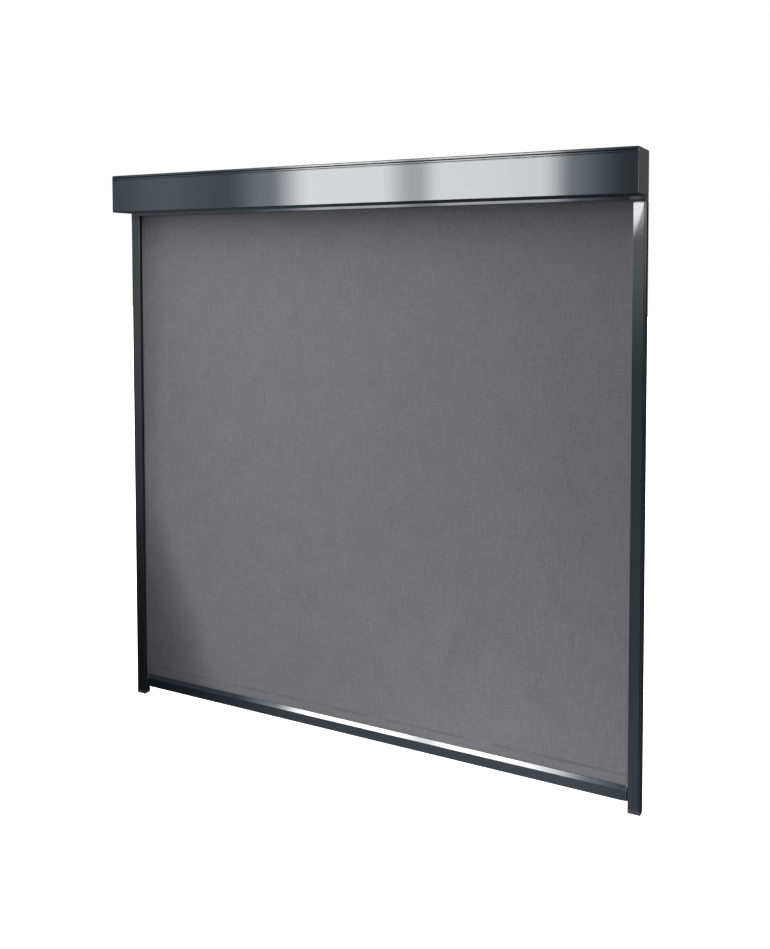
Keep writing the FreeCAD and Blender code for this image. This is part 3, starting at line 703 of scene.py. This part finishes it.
@dataclass
class Guides(SubAssembly):
    """The two side guides with the channels that hold the zip."""

    cushion_crown: float = 0.0004

    def build(self) -> None:
        """Dress the rigid pieces and model the foam strips."""
        self.dress(GUIDE_COAT, *both("guide_base"), *both("guide_cover"))
        self.dress(BLACK_PLASTIC, *both("zip_channel"), *both("inlet_funnel"))
        self.dress(GREY_PLASTIC, *both("guide_plug"))
        for name in both("channel_cushion"):
            self.foam_strip(name)

    def foam_strip(self, node: str) -> None:
        """Foam strip with drawn-in sides, in place of a packed one.

        Args:
            node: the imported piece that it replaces.
        """
        low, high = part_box(node)
        middle = (low + high) / 2
        half = (high - low) / 2
        profile = []
        for index in range(16):
            angle = 2 * math.pi * (index + 0.5) / 16
            square = max(abs(math.cos(angle)), abs(math.sin(angle)))
            reach = 1 / square - 0.12 * (1 / square - 1)
            profile.append((math.cos(angle) * reach * (half.x - self.cushion_crown * 0.25),
                            math.sin(angle) * reach * (half.y - self.cushion_crown * 0.25)))
        mesh = bmesh.new()
        rings = []
        for step, z in enumerate(evenly(low.z, high.z, 60)):
            swell = 1 - self.cushion_crown * (1 + math.cos(step * 1.9)) / (2 * half.x)
            rings.append([mesh.verts.new((middle.x + x * swell, middle.y + y * swell, z))
                          for x, y in profile])
        for lower, upper in zip(rings, rings[1:]):
            for index in range(16):
                following = (index + 1) % 16
                mesh.faces.new((lower[index], lower[following], upper[following], upper[index]))
        mesh.faces.new(rings[0])
        mesh.faces.new(rings[-1])
        strip = self.add(node.replace("channel_cushion", "foam_strip"), mesh, BLACK_FOAM, "casing", [node])


@dataclass
class Crease:
    """A soft crease in the hanging cloth, from one point to another in metres."""

    start: Tuple[float, float]
    end: Tuple[float, float]
    width: float
    depth: float

    def depth_at(self, x: float, z: float) -> float:
        """Depth of the crease at a point of the cloth.

        Args:
            x: the point's place across the cloth.
            z: the point's height.

        Returns:
            How far the cloth is pushed to the front there.
        """
        run = Vector(self.end) - Vector(self.start)
        share = (Vector((x, z)) - Vector(self.start)).dot(run) / run.length_squared
        nearest = Vector(self.start) + run * min(1.0, max(0.0, share))
        away = (Vector((x, z)) - nearest).length / self.width
        return self.depth * math.exp(-away * away)


@dataclass
class Screen(SubAssembly):
    """The cloth, its zips and the turns that stay on the roller."""

    joint: str = "bar_lift"
    columns: int = 110
    rows: int = 100
    hem_rise: float = 0.030
    mouth_rise: float = 0.0012
    hem_step: float = 0.0004
    hem_inset: float = 0.0036
    weld_width: float = 0.0068
    broad_wave: float = 0.0012
    wave_turns: Tuple[float, float] = (11.0, 23.0)
    wave_drift: Tuple[float, float] = (2.3, 1.4)
    turns: float = 1.25
    turn_faces: int = 72
    cloth_thickness: float = 0.0006
    tooth_pitch: float = 0.0026
    tooth_width: float = 0.0043
    tape_half: float = 0.0004
    zip_stop: float = 0.012
    creases: Tuple[Crease, ...] = (
        Crease((0.02, -0.43), (0.16, -0.72), 0.022, 0.0044),
        Crease((0.33, -0.40), (0.27, -0.62), 0.026, 0.0036),
        Crease((0.42, -0.42), (0.50, -0.70), 0.024, -0.0038),
        Crease((0.56, -0.60), (0.66, -0.74), 0.018, 0.0030),
        Crease((-0.42, -0.45), (-0.52, -0.70), 0.034, 0.0026),
    )

    def build(self) -> None:
        """Build the cloth, both zips and the wound turns."""
        self.low, self.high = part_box("fabric_screen")
        self.bar_low, self.bar_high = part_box("bottom_bar")
        roll_low, roll_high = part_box("fabric_roll")
        self.axis = (roll_low + roll_high) / 2
        self.hem_z = self.bar_high.z + self.hem_rise
        self.mouth = self.bar_high.z + self.mouth_rise
        self.cloth = ScreenCloth("screen_cloth", "screen_fabric", tone(96, 96, 99), tone(117, 116, 120),
                                 hem_z=self.hem_z, weld_x=self.high.x - self.weld_width)
        zips = [self.zip_edge(side, node) for side, node in zip((1, -1), both("zip_tape"))]
        self.hanging_cloth(zips)
        self.wound("wound_cloth", "fabric_roll", self.cloth)
        for node in both("zip_roll"):
            self.wound(node.replace("zip_roll", "wound_zip"), node, ZIP_TAPE)

    def shrink(self, piece: bpy.types.Object, lowest: float, highest: float) -> None:
        """Give a piece its own copy of its mesh; how far it would shorten as the bar rises is worked out
        but not applied.

        Args:
            piece: the piece.
            lowest: its lowest height at rest.
            highest: the height that it would shorten to.
        """
        travel = next(joint["range_m"][1] for joint in frame["joints"] if joint["name"] == self.joint)
        length = highest - lowest
        (length - travel) / length
        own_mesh(piece)

    def cloth_offset(self, x: float, z: float) -> float:
        """How far the cloth stands in front of its flat plane.

        Args:
            x: the place across the cloth.
            z: the height.

        Returns:
            The offset in metres, zero where the cloth is held.
        """
        edge = smooth(self.high.x - abs(x), 0.03, 0.16)
        ends = smooth(z, self.hem_z - 0.02, self.hem_z + 0.09) * smooth(self.high.z - z, 0.3, 0.8)
        broad = math.sin(x * self.wave_turns[0] + 0.9 * math.sin(z * self.wave_drift[0]))
        broad = broad + 0.6 * math.sin(x * self.wave_turns[1] - z * self.wave_drift[1] + 0.8)
        folds = sum(crease.depth_at(x, z) for crease in self.creases)
        return edge * ends * (self.broad_wave * broad + folds)

    def half_thickness(self, z: float) -> float:
        """Half the cloth's thickness, more where the hem is folded.

        Args:
            z: the height.

        Returns:
            The half thickness in metres.
        """
        fold = self.hem_step * (1 - smooth(z, self.hem_z - 0.001, self.hem_z + 0.001))
        return self.cloth_thickness / 2 + fold * smooth(z, self.mouth - 0.001, self.mouth + 0.004)

    def hanging_cloth(self, zips: Sequence[bpy.types.Object]) -> None:
        """The taut cloth from the roller to its hem, and the folded hem that the bar carries.

        Args:
            zips: the zips along its edges.
        """
        narrower = (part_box("hem_keder")[1].x - self.hem_inset) / self.high.x

        def middle(x: float, z: float) -> Vector:
            """Middle of the cloth, narrower where it enters the bar."""
            width = x if z > self.mouth else x * narrower
            return Vector((width, (self.low.y + self.high.y) / 2 - self.cloth_offset(x, z), z))

        def half(x: float, z: float) -> Vector:
            """Step from the cloth's middle to its front."""
            return Vector((0, -self.half_thickness(z), 0))

        across = evenly(self.low.x, self.high.x, self.columns)
        heights = [self.hem_z, self.hem_z + 0.0005, self.hem_z + 0.0015]
        heights = heights + evenly(self.hem_z + 0.004, self.high.z, self.rows)
        cloth = self.add("screen_cloth", thick_sheet((across, heights), middle, half),
                         self.cloth, "casing", ["fabric_screen"])
        self.high.z - self.hem_z
        self.shrink(cloth, self.hem_z, self.high.z)
        heights = [self.low.z] + [self.mouth + step for step in (-0.0003, 0.0003, 0.004, 0.012)]
        heights = heights + [self.hem_z + step for step in (-0.003, -0.0015, -0.0005, 0)]
        hem = self.add("screen_hem", thick_sheet((across, heights), middle, half), self.cloth, "bottom_bar")
        self.hem_z - self.low.z

    def zip_edge(self, side: int, node: str) -> bpy.types.Object:
        """One zip: a tape welded to the cloth's edge and its row of teeth.

        Args:
            side: 1 on the right, -1 on the left.
            node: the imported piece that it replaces.

        Returns:
            The zip.
        """
        low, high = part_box(node)
        inner = min(abs(low.x), abs(high.x))
        outer = max(abs(low.x), abs(high.x))
        middle_y = (low.y + high.y) / 2
        bead = (high.y - low.y) / 2
        mesh = thick_sheet(
            (evenly(inner + 0.0001, outer - 0.0004, 5), evenly(low.z, high.z, 60)),
            lambda x, z: Vector((side * x, middle_y, z)),
            lambda x, z: Vector((0, -self.tape_half, 0)))
        tape_faces = set(mesh.faces)
        count = int((high.z - low.z) / self.tooth_pitch)
        for index in range(count):
            z = low.z + (index + 0.5) * self.tooth_pitch
            self.tooth(mesh, Vector((side * (outer - self.tooth_width / 2), middle_y, z)),
                       Vector((self.tooth_width / 2, bead, self.tooth_pitch * 0.36)))
        piece = self.add(node.replace("zip_tape", "zip"), mesh, ZIP_TAPE, "casing", [node])
        piece.data.materials.append(ZIP_TEETH.material())
        for polygon in piece.data.polygons[len(tape_faces):]:
            polygon.material_index = 1
        self.shrink(piece, low.z, high.z - self.zip_stop)
        return piece

    def tooth(self, mesh: bmesh.types.BMesh, centre: Vector, half: Vector) -> None:
        """One coil of the zip, as a block with rounded front and back.

        Args:
            mesh: the mesh that it is added to.
            centre: its middle.
            half: its half sizes.
        """
        outline = [(-1.0, -0.45), (-0.55, -1.0), (0.55, -1.0), (1.0, -0.45),
                   (1.0, 0.45), (0.55, 1.0), (-0.55, 1.0), (-1.0, 0.45)]
        rings = [[mesh.verts.new(centre + Vector((x * half.x, y * half.y, z * half.z)))
                  for x, y in outline] for z in (-1, 1)]
        for index in range(len(outline)):
            following = (index + 1) % len(outline)
            mesh.faces.new((rings[0][index], rings[0][following], rings[1][following], rings[1][index]))
        mesh.faces.new(rings[0][::-1])
        mesh.faces.new(rings[1])

    def wound(self, name: str, node: str, finish: Finish) -> None:
        """The turns that stay on the roller, as one spiral.

        Args:
            name: the new piece's name.
            node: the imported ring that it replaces.
            finish: its finish.
        """
        low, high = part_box(node)
        outer = (high.z - low.z) / 2 - self.cloth_thickness / 2
        tube = (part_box("roller_tube")[1].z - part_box("roller_tube")[0].z) / 2
        inner = tube + self.cloth_thickness / 2 + 0.00005
        half_cloth = self.cloth_thickness * 0.46

        def ray(share: float) -> Vector:
            """Direction from the roller's axis to a point of the spiral."""
            angle = (1 - share) * self.turns * 2 * math.pi
            return Vector((0, math.cos(angle), math.sin(angle)))

        def middle(x: float, share: float) -> Vector:
            """Middle of the cloth along the spiral."""
            radius = inner + (outer - inner) * share
            return Vector((x, self.axis.y, self.axis.z)) + ray(share) * radius

        steps = int(self.turns * self.turn_faces) + 1
        mesh = thick_sheet((evenly(low.x, high.x, 2 + int((high.x - low.x) / 0.2)), evenly(0, 1, steps)),
                           middle, lambda x, share: ray(share) * half_cloth)
        piece = self.add(name, mesh, finish, "roller", [node])


@dataclass
class BottomBar(SubAssembly):
    """The weighted bar with its caps, seal and hem rod."""

    def build(self) -> None:
        """Dress the bar and what it holds."""
        self.dress(BOX_COAT, "bottom_bar")
        self.dress(GREY_PLASTIC, *both("bar_end_cap"))
        self.dress(BLACK_RUBBER, "bar_seal")
        self.dress(WHITE_PLASTIC, "hem_keder")
        self.dress(BRIGHT_STEEL, "bar_weight")


class Ray(Enum):
    """A kind of ray that a piece of the stage is kept out of."""

    CAMERA = "visible_camera"
    DIFFUSE = "visible_diffuse"
    GLOSSY = "visible_glossy"


def hide(piece: bpy.types.Object, *rays: Ray) -> None:
    """Keep a piece of the stage out of some kinds of ray."""
    for ray in rays:
        setattr(piece, ray.value, False)


def stage_plane(name: str, corners: Sequence[Vector]) -> Tuple[bpy.types.Object, Shader]:
    """A flat piece of the stage with an empty material.

    Args:
        name: its name.
        corners: its corners in order.

    Returns:
        The plane and its material's tree.
    """
    mesh = bmesh.new()
    mesh.faces.new([mesh.verts.new(corner) for corner in corners])
    data = bpy.data.meshes.new(name)
    mesh.to_mesh(data)
    mesh.free()
    plane = bpy.data.objects.new(name, data)
    bpy.context.scene.collection.objects.link(plane)
    material = bpy.data.materials.new(name)
    material.use_nodes = True
    data.materials.append(material)
    return plane, Shader(material.node_tree)


@dataclass
class LightWall:
    """Upright wall that only mirrors see: a light panel with a seam, a window, a dim room."""

    y: float = -4.0
    sides: Tuple[float, float] = (-7.0, 1.6)
    ends: Tuple[float, float] = (-3.2, 3.4)
    panel_glow: float = 15.0
    panel_left: Edge = Edge(-2.89, -2.47)
    panel_right: Edge = Edge(-0.68, -0.44)
    panel_low: Edge = Edge(0.65, 0.85)
    panel_high: Edge = Edge(2.3, 2.7)
    upper: Edge = Edge(1.5, 1.75)
    upper_gain: float = 1.2
    upper_shift: Tuple[float, float] = (0.27, 0.12)
    droop: Edge = Edge(-1.16, -0.56)
    droop_share: Tuple[float, float] = (0.07, 0.55)
    seam_left: Edge = Edge(-1.9, -1.64)
    seam_right: Edge = Edge(-1.6, -1.4)
    seam_share: float = 0.48
    left_halo: Edge = Edge(-3.29, -2.89)
    left_halo_glow: Tuple[float, float] = (2.3, 0.8)
    right_halo: Edge = Edge(-0.66, -0.06)
    right_halo_glow: float = 4.3
    window_glow: float = 18.0
    window_left: Edge = Edge(-0.12, -0.09)
    window_slant: Edge = Edge(-0.015, -0.007)
    window_halo: Edge = Edge(-0.007, 0.08)
    window_halo_share: float = 0.32
    window_corner: float = 1.11
    slant: float = 0.29
    window_low: Edge = Edge(0.85, 1.05)
    window_top: Edge = Edge(1.113, 1.123)
    sill_low: Edge = Edge(-0.1, 0.9)
    sill_glow: float = 1.5
    room_right: Edge = Edge(-3.4, 0.3)
    room_low: Edge = Edge(-2.4, 1.0)
    room_glow: Tuple[float, float] = (0.8, 0.25)
    patch_left: Edge = Edge(-4.4, -3.95)
    patch_right: Edge = Edge(-3.85, -3.35)
    patch_glow: float = 0.45
    corner_right: Edge = Edge(-3.1, -2.7)
    corner_share: float = 0.8
    ground_left: Edge = Edge(-3.6, -2.4)
    ground_right: Edge = Edge(-0.6, 0.2)
    ground_high: Edge = Edge(-2.6, -2.0)
    ground_glow: float = 0.6
    far_left: Edge = Edge(-1.8, -0.1)
    far_glow: float = 0.3
    least_glow: float = 0.04
    peak_glow: float = 34.5
    dim: Edge = Edge(2.0, 10.0)
    dim_tint: Colour = (0.88, 0.98, 1.06, 1.0)
    bright_tint: Colour = (0.99, 0.985, 1.0, 1.0)

    def build(self) -> None:
        """Set up the wall and its light."""
        plane, shader = stage_plane("light_wall", [
            Vector((x, self.y, z)) for x, z in (
                (self.sides[0], self.ends[0]), (self.sides[1], self.ends[0]),
                (self.sides[1], self.ends[1]), (self.sides[0], self.ends[1]))])
        place = shader.place()
        across = place.axis("X")
        up = place.axis("Z")
        glow = self.panel(across, up) + self.window(across, up) + self.room(across, up)
        tint = shader.mixed(self.dim.of(glow), self.dim_tint, self.bright_tint)
        shader.surface("ShaderNodeEmission", {
            "Color": shader.mixed(glow / self.peak_glow, (0, 0, 0, 1), tint),
            "Strength": self.peak_glow,
        })
        hide(plane, Ray.CAMERA, Ray.DIFFUSE)

    def panel(self, across: Signal, up: Signal) -> Signal:
        """Light of the panel, brighter and wider in its upper part, with a halo at each side.

        Args:
            across: the place along the wall.
            up: the height.

        Returns:
            The light that it gives.
        """
        upper = self.upper.of(up)
        shifted = across + self.upper_shift[0] * upper
        inner = self.panel_left.of(shifted)
        outer = self.panel_right.of(across)
        droop = 1 - (self.droop_share[0] + self.droop_share[1] * upper) * self.droop.of(across)
        beside = across + self.upper_shift[1] * upper
        seam = self.seam_left.of(beside) * self.seam_right.after(beside)
        middle = inner * (1 - outer) * droop * (1 - self.seam_share * seam)
        middle = middle * (1 + self.upper_gain * upper) * self.panel_glow
        left = (self.left_halo_glow[0] + self.left_halo_glow[1] * upper) * self.left_halo.of(shifted)
        right = self.right_halo_glow * self.right_halo.after(across)
        ends = self.panel_low.of(up) * self.panel_high.after(up)
        return ends * (middle + left * (1 - inner) + right * outer)

    def window(self, across: Signal, up: Signal) -> Signal:
        """Light of the window with a halo along its slanted side, and of the sill below it.

        Args:
            across: the place along the wall.
            up: the height.

        Returns:
            The light that it gives.
        """
        lean = across - (up - self.window_corner) * self.slant
        halo = self.window_halo_share * self.window_halo.after(lean)
        side = self.window_slant.after(lean).higher(halo)
        pane = side * self.window_low.of(up) * self.window_glow
        sill = self.sill_low.of(up) * self.sill_glow
        return (pane + sill) * self.window_left.of(across) * self.window_top.after(up)

    def room(self, across: Signal, up: Signal) -> Signal:
        """Dim light of the room round the panel and of the ground in front of it.

        Args:
            across: the place along the wall.
            up: the height.

        Returns:
            The light that it gives.
        """
        below = self.window_top.after(up)
        patch = self.patch_left.of(across) * self.patch_right.after(across) * (1 - below)
        patch = patch * self.upper.after(up)
        room = self.room_right.after(across) * self.room_low.of(up)
        room = room * (self.room_glow[0] + self.room_glow[1] * below) + self.patch_glow * patch
        room = room * (1 - self.corner_share * self.upper.of(up) * self.corner_right.after(across))
        ground = self.ground_left.of(across) * self.ground_right.after(across) * self.ground_high.after(up)
        far = self.far_glow * self.far_left.of(across)
        return room + self.ground_glow * ground + far + self.least_glow


@dataclass(frozen=True)
class Shade:
    """A dark card that keeps soft light off a part of the blind."""

    name: str
    corners: Tuple[Tuple[float, float, float], ...]

    def build(self) -> None:
        """Set the card up; neither the camera nor a mirror sees it."""
        plane, shader = stage_plane(self.name, [Vector(corner) for corner in self.corners])
        shader.surface("ShaderNodeBsdfDiffuse", {"Color": (0.01, 0.01, 0.01, 1)})
        hide(plane, Ray.CAMERA, Ray.GLOSSY)


@dataclass
class Studio:
    """Floor, lights, surroundings and camera."""

    floor_half: float = 30.0
    horizon: Edge = Edge(0.05, 0.08)
    sky: Edge = Edge(0.1, 0.7)
    sky_glow: float = 3.1
    behind: Edge = Edge(-0.1, 0.2)
    behind_share: float = 0.7
    side_x: float = 4.0
    side_span: Tuple[float, float] = (-2.6, 0.4)
    side_height: Tuple[float, float] = (-0.2, 2.4)
    side_rise: Edge = Edge(0.35, 0.8)
    side_glow: float = 6.0
    key_power: float = 134.0
    key_place: Vector = field(default_factory=lambda: Vector((-1.4, -4.0, 0.8)))
    key_size: Tuple[float, float] = (2.1, 1.45)
    ground_power: float = 0.75
    ground_span: Tuple[float, float] = (0.1, 1.3)
    ground_reach: Tuple[float, float] = (-0.9, -0.06)
    ground_drop: float = 0.02
    shades: Tuple[Shade, ...] = (
        Shade("corner_shade", ((-1.5, -0.35, 0.05), (-0.97, -0.32, 0.05),
                               (-0.58, -0.32, -0.9), (-1.5, -0.35, -0.9))),
        Shade("left_shade", ((-0.98, -0.03, -0.9), (-0.98, -0.36, -0.9),
                             (-0.98, -0.6, 1.2), (-0.98, -0.03, 0.84))),
        Shade("right_shade", ((1.3, -0.06, -0.9), (1.3, -0.3, -0.9),
                              (0.96, -1.5, 1.7), (0.96, -0.06, 1.7))),
    )
    camera_place: Tuple[float, float, float] = (1.5113, -2.7369, 0.6646)
    camera_turn: Tuple[float, float, float] = (87.346, 0.067, 27.098)
    lens: float = 37.73
    shift: Tuple[float, float] = (-0.0058, -0.1663)

    def build(self) -> None:
        """Set up everything round the blind."""
        self.world()
        self.floor()
        LightWall().build()
        self.side_panel()
        self.key_light()
        for shade in self.shades:
            shade.build()
        self.ground_glow()
        self.camera()
        bpy.context.scene.view_settings.view_transform = "Standard"

    def world(self) -> None:
        """White backdrop for the camera; for the blind a dark floor below and a pale sky above."""
        world = bpy.data.worlds.new("surroundings")
        world.use_nodes = True
        bpy.context.scene.world = world
        shader = Shader(world.node_tree)
        way = shader.place("Generated")
        height = way.axis("Z")
        front = 1 - self.behind_share * self.behind.of(way.axis("Y"))
        soft = shader.number("ShaderNodeLightPath", {}, {}, "Is Diffuse Ray")
        room = shader.mixed(self.horizon.of(height), (0.05, 0.05, 0.055, 1), (0.2, 0.2, 0.21, 1))
        sky = (self.sky_glow, self.sky_glow, self.sky_glow * 1.02, 1)
        room = shader.mixed(self.sky.of(height) * front * soft, room, sky)
        seen = shader.number("ShaderNodeLightPath", {}, {}, "Is Camera Ray")
        light = shader.node("ShaderNodeBackground", {}, {"Color": shader.mixed(seen, room, (1, 1, 1, 1))})
        shader.node("ShaderNodeOutputWorld", {}, {"Surface": light.outputs[0]})

    def floor(self) -> None:
        """Plain pale floor at the guides' feet."""
        z = CAD_BOX[0].z
        half = self.floor_half
        plane, shader = stage_plane("floor", [
            Vector((x, y, z)) for x, y in ((-half, -half), (half, -half), (half, half), (-half, half))])
        shader.surface("ShaderNodeBsdfPrincipled", {
            "Base Color": (0.85, 0.85, 0.85, 1),
            "Roughness": 0.9,
            "Emission Color": (1, 1, 1, 1),
            "Emission Strength": 1.1,
        })
        hide(plane, Ray.GLOSSY, Ray.DIFFUSE)

    def side_panel(self) -> None:
        """Pale wall at the right, which only rounded corners mirror."""
        front, back = self.side_span
        low, high = self.side_height
        corners = ((front, low), (back, low), (back, high), (front, high))
        plane, shader = stage_plane("side_panel", [Vector((self.side_x, y, z)) for y, z in corners])
        share = self.side_rise.of(shader.place().axis("Z"))
        shader.surface("ShaderNodeEmission", {
            "Color": shader.mixed(share, (0.15, 0.16, 0.18, 1), (0.95, 0.98, 1.0, 1)),
            "Strength": self.side_glow,
        })
        hide(plane, Ray.CAMERA, Ray.DIFFUSE)

    def key_light(self) -> None:
        """Soft light from the front, level with the box."""
        data = bpy.data.lights.new("key_light", "AREA")
        data.shape = "RECTANGLE"
        data.size, data.size_y = self.key_size
        data.energy = self.key_power
        lamp = bpy.data.objects.new("key_light", data)
        lamp.location = self.key_place
        lamp.rotation_euler = (-self.key_place).to_track_quat("-Z", "Y").to_euler()
        hide(lamp, Ray.CAMERA, Ray.GLOSSY)
        bpy.context.scene.collection.objects.link(lamp)

    def ground_glow(self) -> None:
        """Light that the ground in front sends up to the foot of the blind."""
        z = CAD_BOX[0].z - self.ground_drop
        left, right = self.ground_span
        front, back = self.ground_reach
        plane, shader = stage_plane("ground_glow", [
            Vector((x, y, z)) for x, y in ((left, front), (right, front), (right, back), (left, back))])
        shader.surface("ShaderNodeEmission", {"Color": (1.0, 1.0, 1.0, 1.0), "Strength": self.ground_power})
        hide(plane, Ray.CAMERA, Ray.GLOSSY)

    def camera(self) -> None:
        """Camera at the photograph's place and angle."""
        data = bpy.data.cameras.new("camera")
        data.sensor_width = 36.0
        data.lens = self.lens
        data.shift_x, data.shift_y = self.shift
        camera = bpy.data.objects.new("camera", data)
        camera.location = self.camera_place
        camera.rotation_euler = Euler([math.radians(angle) for angle in self.camera_turn])
        bpy.context.scene.collection.objects.link(camera)
        bpy.context.scene.camera = camera


def main() -> None:
    """Build and dress the sub-assemblies in order, then light and frame the blind."""
    logging.basicConfig(level=logging.INFO, format="%(name)s: %(message)s")
    for part in (Cassette(), Drive(), Guides(), Screen(), BottomBar(), Studio()):
        LOG.info("building %s", type(part).__name__)
        part.build()


if __name__ == "__main__":
    main()
